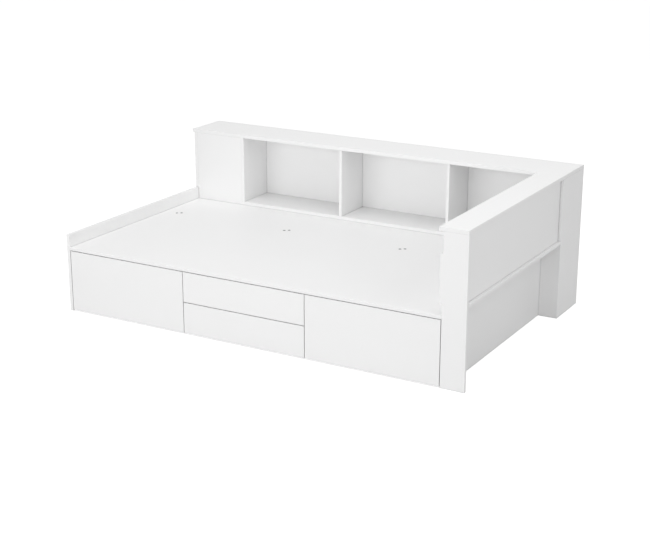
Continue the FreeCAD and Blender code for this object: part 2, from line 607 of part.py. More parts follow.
# ---------------------------------------------------------------- one file per node
os.makedirs("parts", exist_ok=True)
for node, members in nodes.items():
    solids = [piece.finished() for piece in members]
    shape = solids[0] if len(solids) == 1 else Part.makeCompound(solids)
    shape.exportStep("parts/" + node + ".step")
print(len(nodes), "nodes")
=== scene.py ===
"""Looks of a low white daybed with drawers, a bookcase and a hollow headboard.

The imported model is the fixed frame. This script gives each of its nodes a finish,
adds the small fittings that show once a drawer is open, and sets up the studio.
Lengths are metres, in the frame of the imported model, but a class of fittings has its
own sizes in millimetres, and says so.
"""
import json
import logging
import math
from collections.abc import Callable, Iterator
from dataclasses import dataclass
from enum import Enum

import bmesh
import bpy
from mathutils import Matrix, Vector


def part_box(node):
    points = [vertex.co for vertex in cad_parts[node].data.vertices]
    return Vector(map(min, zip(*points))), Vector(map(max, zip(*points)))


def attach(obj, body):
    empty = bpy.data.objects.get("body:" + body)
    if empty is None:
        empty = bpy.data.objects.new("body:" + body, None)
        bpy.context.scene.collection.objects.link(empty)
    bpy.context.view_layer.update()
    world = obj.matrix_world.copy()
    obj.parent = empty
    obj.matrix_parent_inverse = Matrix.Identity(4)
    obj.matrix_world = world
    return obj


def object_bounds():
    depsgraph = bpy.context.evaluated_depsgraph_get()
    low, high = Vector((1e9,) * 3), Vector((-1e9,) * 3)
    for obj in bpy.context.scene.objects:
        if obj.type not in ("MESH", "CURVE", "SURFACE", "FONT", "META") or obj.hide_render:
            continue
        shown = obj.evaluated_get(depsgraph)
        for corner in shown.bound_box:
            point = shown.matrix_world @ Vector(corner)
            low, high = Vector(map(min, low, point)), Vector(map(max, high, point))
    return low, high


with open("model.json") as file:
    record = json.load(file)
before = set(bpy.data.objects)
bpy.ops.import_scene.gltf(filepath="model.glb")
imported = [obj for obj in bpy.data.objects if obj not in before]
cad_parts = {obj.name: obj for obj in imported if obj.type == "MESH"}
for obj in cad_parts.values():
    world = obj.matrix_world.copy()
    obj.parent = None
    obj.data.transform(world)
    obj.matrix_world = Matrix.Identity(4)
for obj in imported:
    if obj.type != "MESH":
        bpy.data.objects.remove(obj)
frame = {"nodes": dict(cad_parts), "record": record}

logging.basicConfig(level=logging.INFO, format="%(name)s: %(message)s")
log = logging.getLogger("daybed")

cad_low, cad_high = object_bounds()

Socket = bpy.types.NodeSocket
Triple = tuple[float, float, float]
Colour = Triple
Outline = Callable[[float], float]
MILLIMETRE = 0.001
NOISE_MEAN = 0.5
WHITE: Colour = (1.0, 1.0, 1.0)
# Half the angle that the end of a recess's arm takes, seen from the middle of the head. It is
# just over one step between the points of an outline, so three of them lie across each end.
ARM_HALF_ANGLE = math.radians(15.1)


class Slot(str, Enum):
    """Material slots of the record, one for each finish."""

    FOIL = "white_foil_board"
    DRAWER_BOARD = "drawer_board"
    DRAWER_BOTTOM = "drawer_bottom"
    PINE = "pine"
    BEECH = "beech"
    ZINC_STEEL = "zinc_steel"
    BLACK_STEEL = "black_steel"
    CAM_ZINC = "zinc_casting"
    SLIDE_STEEL = "slide_steel"
    GREY_PLASTIC = "grey_plastic"
    BLACK_PLASTIC = "black_plastic"


class Drawer(str, Enum):
    """The four drawers, by the place of each in the base."""

    FOOT = "foot"
    LOWER = "lower"
    UPPER = "upper"
    HEAD = "head"


class PlatformBoard(str, Enum):
    """The three boards of the platform, by the place of each along the bed."""

    FOOT = "foot"
    MIDDLE = "middle"
    HEAD = "head"


class Side(Enum):
    """The two sides of a drawer or a fitting; the value is the direction along X, outwards."""

    LEFT = -1.0
    RIGHT = 1.0

    def face(self, low: Vector, high: Vector) -> float:
        """Place along X of this side of a box."""
        return low.x if self is Side.LEFT else high.x


class Recess(Enum):
    """Shape of the drive in a fastener's head; the value is the number of its arms."""

    SLOT = 2
    CROSS = 4

    def outline(self, reach: float) -> Outline:
        """Make the recess's outline.

        Args:
            reach: middle of the recess to the end of an arm.

        Returns:
            Distance from the middle to the outline, by the angle round the head.
        """
        step = 2 * math.pi / self.value

        def distance(turn: float) -> float:
            """Measure across the end of an arm, or along its side.

            Args:
                turn: angle round the head.

            Returns:
                Distance from the middle to the outline at that angle.
            """
            off_arm = abs((turn + step / 2) % step - step / 2)
            if off_arm <= ARM_HALF_ANGLE:
                return reach / math.cos(off_arm)
            return reach * math.tan(ARM_HALF_ANGLE) / math.sin(off_arm)

        return distance


# ---------------------------------------------------------------- shader building
def opaque(colour: Colour) -> tuple[float, float, float, float]:
    """Give a colour the fourth number that a colour socket takes."""
    return (*colour, 1.0)


class Sketch:
    """Adds nodes to one shader tree."""

    def __init__(self, tree: bpy.types.NodeTree) -> None:
        """Start with the tree that the nodes go into."""
        self.tree = tree

    def add(self, kind: str, inputs: dict | None = None, **properties: object) -> bpy.types.Node:
        """Add one node.

        Args:
            kind: type of the node, without the leading ShaderNode.
            inputs: value or source socket for each input, by name or by number.
            properties: settings of the node itself.

        Returns:
            The new node.
        """
        node = self.tree.nodes.new("ShaderNode" + kind)
        for name, value in properties.items():
            setattr(node, name, value)
        for name, value in (inputs or {}).items():
            if isinstance(value, Socket):
                self.tree.links.new(value, node.inputs[name])
            else:
                node.inputs[name].default_value = value
        return node

    def calc(self, operation: str, *values: float | Socket, clamp: bool = False) -> Socket:
        """Work out one number.

        Args:
            operation: name of the Math node's operation.
            values: numbers or sockets that go in, in order.
            clamp: whether the result stays between 0 and 1.

        Returns:
            The socket with the result.
        """
        node = self.add("Math", dict(enumerate(values)), operation=operation, use_clamp=clamp)
        return node.outputs["Value"]

    def scaled(self, vector: Socket, factor: Socket) -> Socket:
        """Multiply two vectors, part by part."""
        node = self.add("VectorMath", {0: vector, 1: factor}, operation="MULTIPLY")
        return node.outputs["Vector"]

    def noise(self, vector: Socket, scale: float | Socket, detail: float = 2.0,
              roughness: float = 0.5) -> Socket:
        """Sample a soft noise.

        Args:
            vector: where the noise is sampled.
            scale: cells for each metre.
            detail: octaves of finer noise.
            roughness: strength of the finer octaves.

        Returns:
            The noise, about NOISE_MEAN on average.
        """
        node = self.add("TexNoise", {"Vector": vector, "Scale": scale, "Detail": detail,
                                     "Roughness": roughness})
        return node.outputs["Fac"]

    def centred(self, noise: Socket) -> Socket:
        """Shift a noise so that it is about 0 on average."""
        return self.calc("SUBTRACT", noise, NOISE_MEAN)

    def spread(self, noise: Socket, middle: float, width: float) -> Socket:
        """Spread a noise about a middle value."""
        return self.calc("MULTIPLY_ADD", noise, width, middle - width * NOISE_MEAN)

    def blend(self, factor: Socket, first: Socket, second: Socket) -> Socket:
        """Mix two colours by a mask."""
        node = self.add("Mix", {0: factor, 6: first, 7: second}, data_type="RGBA")
        return node.outputs[2]

    def brightened(self, colour: Socket, amount: Socket) -> Socket:
        """Multiply a colour by a number that varies over the surface."""
        node = self.add("VectorMath", {0: colour, "Scale": amount}, operation="SCALE")
        return node.outputs["Vector"]


class Effect:
    """A shader node group that several finishes share."""

    name: str = ""
    inputs: tuple[tuple[str, str], ...] = ()
    outputs: tuple[tuple[str, str], ...] = ()

    def tree(self) -> bpy.types.NodeTree:
        """Find the group, or make it the first time.

        Returns:
            The node group.
        """
        made = bpy.data.node_groups.get(self.name)
        if made is None:
            made = bpy.data.node_groups.new(self.name, "ShaderNodeTree")
            for name, kind in self.inputs:
                made.interface.new_socket(name, in_out="INPUT", socket_type="NodeSocket" + kind)
            for name, kind in self.outputs:
                made.interface.new_socket(name, in_out="OUTPUT", socket_type="NodeSocket" + kind)
            sketch = Sketch(made)
            source = made.nodes.new("NodeGroupInput").outputs
            sink = made.nodes.new("NodeGroupOutput").inputs
            for name, socket in self.fill(sketch, source).items():
                made.links.new(socket, sink[name])
        return made

    def fill(self, sketch: Sketch, source: bpy.types.NodeOutputs) -> dict[str, Socket]:
        """Make the group's nodes.

        Args:
            sketch: adds nodes to the group.
            source: the group's inputs.

        Returns:
            The socket behind each of the group's outputs.
        """
        raise NotImplementedError

    def place(self, sketch: Sketch, inputs: dict) -> bpy.types.Node:
        """Put the group into a material.

        Args:
            sketch: adds nodes to the material.
            inputs: value or source socket for each of the group's inputs.

        Returns:
            The group node.
        """
        return sketch.add("Group", inputs, node_tree=self.tree())


class Mottle(Effect):
    """Slow and fine changes of tone over a surface."""

    name = "mottle"
    inputs = (("Vector", "Vector"), ("Colour", "Color"), ("Slow Scale", "Float"),
              ("Slow Amount", "Float"), ("Fine Scale", "Float"), ("Fine Amount", "Float"))
    outputs = (("Colour", "Color"), ("Fine", "Float"))
    slow_detail: float = 1.0
    fine_detail: float = 3.0
    fine_roughness: float = 0.6

    def fill(self, sketch: Sketch, source: bpy.types.NodeOutputs) -> dict[str, Socket]:
        """Brighten and darken the colour around its own tone.

        Args:
            sketch: adds nodes to the group.
            source: the group's inputs.

        Returns:
            The socket behind each of the group's outputs.
        """
        slow = sketch.noise(source["Vector"], source["Slow Scale"], self.slow_detail)
        fine = sketch.noise(source["Vector"], source["Fine Scale"], self.fine_detail,
                            self.fine_roughness)
        shift = sketch.calc("MULTIPLY_ADD", sketch.centred(slow), source["Slow Amount"], 1.0)
        shift = sketch.calc("MULTIPLY_ADD", sketch.centred(fine), source["Fine Amount"], shift)
        return {"Colour": sketch.brightened(source["Colour"], shift), "Fine": fine}


class EdgeBandAndHighlight(Effect):
    """Edge banding glued round a board's edges and the rub on its corners, in a lighter tone that is
    partly a painted highlight.
    """

    name = "edge_band_and_highlight"
    inputs = (("Colour", "Color"), ("Band And Highlight Colour", "Color"), ("Width", "Float"), ("Amount", "Float"))
    outputs = (("Colour", "Color"),)
    samples: int = 4
    gain: float = 8.0

    def fill(self, sketch: Sketch, source: bpy.types.NodeOutputs) -> dict[str, Socket]:
        """Tell corners from faces by how a rounded normal turns away.

        Args:
            sketch: adds nodes to the group.
            source: the group's inputs.

        Returns:
            The socket behind each of the group's outputs.
        """
        rounded = sketch.add("Bevel", {"Radius": source["Width"]}, samples=self.samples)
        true_normal = sketch.add("NewGeometry").outputs["Normal"]
        facing = sketch.add("VectorMath", {0: rounded.outputs["Normal"], 1: true_normal},
                            operation="DOT_PRODUCT").outputs["Value"]
        turned = sketch.calc("MULTIPLY", sketch.calc("SUBTRACT", 1.0, facing), self.gain, clamp=True)
        mask = sketch.calc("MULTIPLY", turned, source["Amount"], clamp=True)
        # Painted highlight in part: corners take the lighter banding colour, which is also the banding's
        # own tone.
        return {"Colour": sketch.blend(mask, source["Colour"], source["Band And Highlight Colour"])}


class PaintedJointShade(Effect):
    """Painted shade: the dark line where two boards meet, from ambient occlusion."""

    name = "painted_joint_shade"
    inputs = (("Colour", "Color"), ("Reach", "Float"), ("Amount", "Float"))
    outputs = (("Colour", "Color"),)
    samples: int = 8

    def fill(self, sketch: Sketch, source: bpy.types.NodeOutputs) -> dict[str, Socket]:
        """Paint shade on what lies within reach of another board, as far as ambient occlusion finds it
        hidden.

        Args:
            sketch: adds nodes to the group.
            source: the group's inputs.

        Returns:
            The socket behind each of the group's outputs.
        """
        openness = sketch.add("AmbientOcclusion", {"Distance": source["Reach"]},
                              samples=self.samples).outputs["AO"]
        mask = sketch.calc("SUBTRACT", 1.0, openness, clamp=True)
        kept = sketch.calc("SUBTRACT", 1.0, sketch.calc("MULTIPLY", mask, source["Amount"]))
        return {"Colour": sketch.brightened(source["Colour"], kept)}


class WoodFigure(Effect):
    """Growth rings and pores of sawn wood."""

    name = "wood_figure"
    inputs = (("Vector", "Vector"), ("Early Colour", "Color"), ("Late Colour", "Color"),
              ("Ring Scale", "Float"), ("Pore Scale", "Vector"))
    outputs = (("Colour", "Color"), ("Height", "Float"), ("Roughness", "Float"))
    bend_scale: float = 3.0
    bend_detail: float = 3.0
    bend_strength: float = 5.0
    ring_detail: float = 2.0
    ring_detail_scale: float = 1.5
    pore_detail: float = 4.0
    pore_fineness: float = 0.7
    late_floor: float = 0.35
    roughness: float = 0.55
    roughness_spread: float = 0.2

    def fill(self, sketch: Sketch, source: bpy.types.NodeOutputs) -> dict[str, Socket]:
        """Bend rings along the grain and lay pores over them.

        Args:
            sketch: adds nodes to the group.
            source: the group's inputs.

        Returns:
            The socket behind each of the group's outputs.
        """
        bend = sketch.noise(source["Vector"], self.bend_scale, self.bend_detail)
        rings = sketch.add("TexWave", {"Vector": source["Vector"], "Scale": source["Ring Scale"],
                                       "Distortion": sketch.calc("MULTIPLY", bend, self.bend_strength),
                                       "Detail": self.ring_detail,
                                       "Detail Scale": self.ring_detail_scale},
                           wave_type="RINGS", rings_direction="Y", wave_profile="SAW")
        pores = sketch.noise(sketch.scaled(source["Vector"], source["Pore Scale"]), 1.0,
                             self.pore_detail, self.pore_fineness)
        late = sketch.calc("MULTIPLY", rings.outputs["Fac"],
                           sketch.calc("ADD", pores, self.late_floor), clamp=True)
        return {"Colour": sketch.blend(late, source["Early Colour"], source["Late Colour"]),
                "Height": pores,
                "Roughness": sketch.spread(pores, self.roughness, self.roughness_spread)}


class DrawnMetal(Effect):
    """Fine lines of rolled or drawn metal, with the clouding of its plating."""

    name = "drawn_metal"
    inputs = (("Vector", "Vector"), ("Colour", "Color"), ("Line Scale", "Vector"),
              ("Cloud Scale", "Float"), ("Amount", "Float"), ("Roughness", "Float"))
    outputs = (("Colour", "Color"), ("Height", "Float"), ("Roughness", "Float"))
    line_detail: float = 3.0
    line_fineness: float = 0.65
    roughness_share: float = 0.6

    def fill(self, sketch: Sketch, source: bpy.types.NodeOutputs) -> dict[str, Socket]:
        """Lay lines over soft clouds of plating.

        Args:
            sketch: adds nodes to the group.
            source: the group's inputs.

        Returns:
            The socket behind each of the group's outputs.
        """
        lines = sketch.noise(sketch.scaled(source["Vector"], source["Line Scale"]), 1.0,
                             self.line_detail, self.line_fineness)
        clouds = sketch.noise(source["Vector"], source["Cloud Scale"])
        both = sketch.calc("SUBTRACT", sketch.calc("ADD", lines, clouds), 2 * NOISE_MEAN)
        shift = sketch.calc("MULTIPLY_ADD", both, source["Amount"], 1.0)
        swing = sketch.calc("MULTIPLY", source["Amount"], self.roughness_share)
        rough = sketch.calc("MULTIPLY_ADD", both, swing, source["Roughness"])
        return {"Colour": sketch.brightened(source["Colour"], shift), "Height": lines,
                "Roughness": rough}


# ---------------------------------------------------------------- finishes
@dataclass(frozen=True)
class Finish:
    """What every finish has: the record's slot, a colour, and a bump's height in metres."""

    slot: Slot
    colour: Colour
    bump_height: float = 0.00002

    def material(self) -> bpy.types.Material:
        """Make the finish's material.

        Returns:
            The material, named after its slot.
        """
        made = bpy.data.materials.new("finish_" + self.slot.value)
        made.use_nodes = True
        made.node_tree.nodes.clear()
        sketch = Sketch(made.node_tree)
        shader = sketch.add("BsdfPrincipled")
        output = sketch.add("OutputMaterial", {"Surface": shader.outputs["BSDF"]})
        output.is_active_output = True
        coords = sketch.add("TexCoord").outputs["Object"]
        self.wire(sketch, shader, coords)
        return made

    def wire(self, sketch: Sketch, shader: bpy.types.Node, coords: Socket) -> None:
        """Feed the shader.

        Args:
            sketch: adds nodes to the material.
            shader: the material's shader.
            coords: place of the shaded point on its piece.
        """
        raise NotImplementedError

    def feed(self, sketch: Sketch, shader: bpy.types.Node, sources: dict[str, Socket]) -> None:
        """Link sockets to the shader.

        Args:
            sketch: adds nodes to the material.
            shader: the material's shader.
            sources: source socket for each input; Height goes in through a bump.
        """
        for name, socket in sources.items():
            if name == "Height":
                bump = sketch.add("Bump", {"Height": socket, "Strength": 1.0,
                                           "Distance": self.bump_height})
                name, socket = "Normal", bump.outputs["Normal"]
            sketch.tree.links.new(socket, shader.inputs[name])


@dataclass(frozen=True)
class FoilFinish(Finish):
    """Board wrapped in white foil, or faced and edged with it.

    The width of the edge banding with its painted highlight, and the reach of the painted shade at
    joints, are in metres, and a scale is cells for each metre.
    """

    band_and_highlight_colour: Colour = (0.93, 0.93, 0.93)
    band_and_highlight_width: float = 0.0016
    band_and_highlight_amount: float = 0.6
    slow_scale: float = 3.5
    slow_amount: float = 0.012
    grain_scale: float = 900.0
    grain_amount: float = 0.02
    rub_scale: float = 14.0
    rub_detail: float = 3.0
    roughness: float = 0.46
    roughness_spread: float = 0.10
    gloss: float = 0.25
    painted_shade_reach: float = 0.006
    painted_shade_amount: float = 0.4

    def wire(self, sketch: Sketch, shader: bpy.types.Node, coords: Socket) -> None:
        """Matt foil with a faint grain, lighter edge banding that is partly a painted highlight, and
        painted shade along joints.

        Args:
            sketch: adds nodes to the material.
            shader: the material's shader.
            coords: place of the shaded point on its piece.
        """
        skin = Mottle().place(sketch, {"Vector": coords, "Colour": opaque(self.colour),
                                       "Slow Scale": self.slow_scale,
                                       "Slow Amount": self.slow_amount,
                                       "Fine Scale": self.grain_scale,
                                       "Fine Amount": self.grain_amount})
        # Edge banding lighter at every corner: partly its own tone, partly a painted highlight.
        band_and_highlight = EdgeBandAndHighlight().place(sketch, {"Colour": skin.outputs["Colour"],
                                         "Band And Highlight Colour": opaque(self.band_and_highlight_colour),
                                         "Width": self.band_and_highlight_width, "Amount": self.band_and_highlight_amount})
        # Painted shade: ambient occlusion darkens the colour where boards meet.
        painted_shade = PaintedJointShade().place(sketch, {"Colour": band_and_highlight.outputs["Colour"],
                                            "Reach": self.painted_shade_reach, "Amount": self.painted_shade_amount})
        rub = sketch.noise(coords, self.rub_scale, self.rub_detail)
        rough = sketch.spread(rub, self.roughness, self.roughness_spread)
        shader.inputs["Specular IOR Level"].default_value = self.gloss
        self.feed(sketch, shader, {"Base Color": painted_shade.outputs["Colour"], "Roughness": rough,
                                   "Height": skin.outputs["Fine"]})


@dataclass(frozen=True)
class WoodFinish(Finish):
    """Sawn wood with its grain along Y."""

    late_colour: Colour = (0.5, 0.3, 0.15)
    ring_scale: float = 60.0
    pore_scale: Triple = (900.0, 30.0, 900.0)

    def wire(self, sketch: Sketch, shader: bpy.types.Node, coords: Socket) -> None:
        """Growth rings with pores over them.

        Args:
            sketch: adds nodes to the material.
            shader: the material's shader.
            coords: place of the shaded point on its piece.
        """
        figure = WoodFigure().place(sketch, {"Vector": coords, "Early Colour": opaque(self.colour),
                                             "Late Colour": opaque(self.late_colour),
                                             "Ring Scale": self.ring_scale,
                                             "Pore Scale": self.pore_scale})
        self.feed(sketch, shader, {"Base Color": figure.outputs["Colour"],
                                   "Roughness": figure.outputs["Roughness"],
                                   "Height": figure.outputs["Height"]})


@dataclass(frozen=True)
class MetalFinish(Finish):
    """Plated steel or cast zinc."""

    line_scale: Triple = (1500.0, 25.0, 1500.0)
    cloud_scale: float = 60.0
    amount: float = 0.25
    roughness: float = 0.33

    def wire(self, sketch: Sketch, shader: bpy.types.Node, coords: Socket) -> None:
        """Lines and clouds on a metal.

        Args:
            sketch: adds nodes to the material.
            shader: the material's shader.
            coords: place of the shaded point on its piece.
        """
        metal = DrawnMetal().place(sketch, {"Vector": coords, "Colour": opaque(self.colour),
                                            "Line Scale": self.line_scale,
                                            "Cloud Scale": self.cloud_scale,
                                            "Amount": self.amount, "Roughness": self.roughness})
        shader.inputs["Metallic"].default_value = 1.0
        self.feed(sketch, shader, {"Base Color": metal.outputs["Colour"],
                                   "Roughness": metal.outputs["Roughness"],
                                   "Height": metal.outputs["Height"]})


@dataclass(frozen=True)
class PlasticFinish(Finish):
    """Moulded plastic with an etched skin."""

    slow_scale: float = 40.0
    slow_amount: float = 0.08
    etch_scale: float = 1800.0
    etch_amount: float = 0.12
    roughness: float = 0.5
    roughness_spread: float = 0.2

    def wire(self, sketch: Sketch, shader: bpy.types.Node, coords: Socket) -> None:
        """Etched skin with a little wear.

        Args:
            sketch: adds nodes to the material.
            shader: the material's shader.
            coords: place of the shaded point on its piece.
        """
        skin = Mottle().place(sketch, {"Vector": coords, "Colour": opaque(self.colour),
                                       "Slow Scale": self.slow_scale,
                                       "Slow Amount": self.slow_amount,
                                       "Fine Scale": self.etch_scale,
                                       "Fine Amount": self.etch_amount})
        rough = sketch.spread(skin.outputs["Fine"], self.roughness, self.roughness_spread)
        self.feed(sketch, shader, {"Base Color": skin.outputs["Colour"], "Roughness": rough,
                                   "Height": skin.outputs["Fine"]})


FINISHES: tuple[Finish, ...] = (
    FoilFinish(Slot.FOIL, (0.89, 0.89, 0.89)),
    FoilFinish(Slot.DRAWER_BOARD, (0.85, 0.85, 0.845), band_and_highlight_colour=(0.88, 0.88, 0.875), roughness=0.5),
    FoilFinish(Slot.DRAWER_BOTTOM, (0.80, 0.80, 0.79), band_and_highlight_amount=0.0, grain_scale=260.0,
               grain_amount=0.05, roughness=0.55, bump_height=0.0001),
    WoodFinish(Slot.PINE, (0.70, 0.50, 0.29), late_colour=(0.50, 0.30, 0.13)),
    WoodFinish(Slot.BEECH, (0.62, 0.42, 0.26), late_colour=(0.50, 0.30, 0.17), ring_scale=140.0),
    MetalFinish(Slot.ZINC_STEEL, (0.60, 0.61, 0.62), line_scale=(700.0, 700.0, 700.0)),
    MetalFinish(Slot.BLACK_STEEL, (0.16, 0.16, 0.165), line_scale=(700.0, 700.0, 700.0), roughness=0.5),
    MetalFinish(Slot.CAM_ZINC, (0.55, 0.55, 0.56), line_scale=(500.0, 500.0, 500.0), roughness=0.45),
    MetalFinish(Slot.SLIDE_STEEL, (0.63, 0.64, 0.65), roughness=0.30),
    PlasticFinish(Slot.GREY_PLASTIC, (0.42, 0.43, 0.44)),
    PlasticFinish(Slot.BLACK_PLASTIC, (0.025, 0.025, 0.027), roughness=0.42),
)


class Paint:
    """Makes each finish's material once and gives it to pieces."""

    def __init__(self, finishes: tuple[Finish, ...]) -> None:
        """Make the materials of all the finishes."""
        self.materials = {finish.slot: finish.material() for finish in finishes}

    def dress(self, piece: bpy.types.Object, slot: Slot) -> None:
        """Give a piece the material of a slot."""
        piece.data.materials.clear()
        piece.data.materials.append(self.materials[slot])

    def dress_nodes(self, record: dict) -> None:
        """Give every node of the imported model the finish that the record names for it.

        Args:
            record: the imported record.
        """
        for part in record["subparts"]:
            self.dress(frame["nodes"][part["node"]], Slot(part["material_slot"]))
            log.info("%s finished as %s", part["node"], part["material_slot"])


# ---------------------------------------------------------------- small fittings
class Shape:
    """Collects the faces of one piece, which may be a set of like fittings."""

    SIDES = 24
    SHARP_ANGLE = math.radians(30.0)

    def __init__(self) -> None:
        """Start with no faces."""
        self.mesh = bmesh.new()

    def skin(self, loops: list[list[Vector]], ring: bool = False) -> None:
        """Lay a skin over closed loops of as many points each.

        Args:
            loops: the points of each loop, in the order of the loops.
            ring: whether the last loop is joined to the first, instead of a face at each end.
        """
        rows = [[self.mesh.verts.new(point) for point in loop] for loop in loops]
        if ring:
            rows.append(rows[0])
        for lower, upper in zip(rows, rows[1:]):
            for index in range(len(lower)):
                self.mesh.faces.new((lower[index - 1], lower[index], upper[index], upper[index - 1]))
        if not ring:
            self.mesh.faces.new(rows[0][::-1])
            self.mesh.faces.new(rows[-1])

    def turned(self, foot: Vector, axis: Vector, layers: list[tuple[float, Outline]]) -> None:
        """Lay a skin over outlines that are stacked along an axis.

        Args:
            foot: where the axis starts.
            axis: its direction, one unit long.
            layers: height over the foot and outline of each layer.
        """
        across = axis.orthogonal().normalized()
        upward = axis.cross(across)
        turns = [2 * math.pi * index / self.SIDES for index in range(self.SIDES)]
        rays = [across * math.cos(turn) + upward * math.sin(turn) for turn in turns]
        self.skin([[foot + axis * height + ray * outline(turn) for turn, ray in zip(turns, rays)]
                   for height, outline in layers])

    def plate(self, points: list[Vector], thickness: Vector, ease: float,
              hole: list[Vector] | None = None) -> None:
        """Make a flat plate with a bevelled rim on its far face.

        Args:
            points: the plate's outline, round its near face.
            thickness: from the near face to the far one.
            ease: share of the thickness that the bevel takes; inwards it takes half that share
                of the way to the middle.
            hole: outline of a hole through it, with as many points.
        """
        middle = sum(points, Vector()) / len(points)
        shoulder = [point + thickness * (1 - ease) for point in points]
        far = [point.lerp(middle, ease / 2) + thickness for point in points]
        loops = [points, shoulder, far]
        if hole:
            loops += [[point + thickness for point in hole], hole]
        self.skin(loops, ring=hole is not None)

    def piece(self, name: str, slot: Slot, body: str, paint: Paint) -> None:
        """Finish the piece and set it on its body.

        Args:
            name: the piece's name.
            slot: the record's slot for its finish.
            body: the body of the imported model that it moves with.
            paint: gives it its material.
        """
        bmesh.ops.recalc_face_normals(self.mesh, faces=self.mesh.faces)
        data = bpy.data.meshes.new(name)
        self.mesh.to_mesh(data)
        self.mesh.free()
        data.shade_smooth()
        data.set_sharp_from_angle(angle=self.SHARP_ANGLE)
        made = bpy.data.objects.new(name, data)
        bpy.context.scene.collection.objects.link(made)
        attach(made, body)
        paint.dress(made, slot)
        log.info("%s built on %s, %d faces", name, body, len(data.polygons))


@dataclass(frozen=True)
class Head:
    """Head of a screw, or the face of a cam, in millimetres.

    The rim's turns are degrees from its side, and the land and the taper of the recess are
    shares of its reach, round its mouth and at its bottom.
    """

    radius: float = 3.4
    height: float = 1.9
    rim: float = 0.7
    rim_turns: tuple[float, ...] = (0.0, 30.0, 60.0, 80.0)
    recess: Recess = Recess.CROSS
    reach: float = 1.9
    depth: float = 1.3
    land: float = 1.15
    taper: float = 0.7

    def add(self, shape: Shape, foot: Vector, axis: Vector) -> None:
        """Add one head to a shape, with its foot on what it fastens; see Shape.turned."""
        shape.turned(foot, axis, list(self.layers()))

    def layers(self) -> Iterator[tuple[float, Outline]]:
        """Give the head's outlines from its foot, over its rounded rim and into its recess.

        Returns:
            Height over the foot in metres, and the outline there, for each layer.
        """
        crown = self.height - self.rim
        yield 0.0, self.circle(self.radius)
        for turn in self.rim_turns:
            slope = math.radians(turn)
            yield ((crown + self.rim * math.sin(slope)) * MILLIMETRE,
                   self.circle(self.radius - self.rim * (1 - math.cos(slope))))
        yield self.height * MILLIMETRE, self.circle(self.reach * self.land)
        yield self.height * MILLIMETRE, self.recess.outline(self.reach * MILLIMETRE)
        yield ((self.height - self.depth) * MILLIMETRE,
               self.recess.outline(self.reach * self.taper * MILLIMETRE))

    def circle(self, radius: float) -> Outline:
        """Make a round outline of a radius in millimetres."""
        return lambda turn: radius * MILLIMETRE


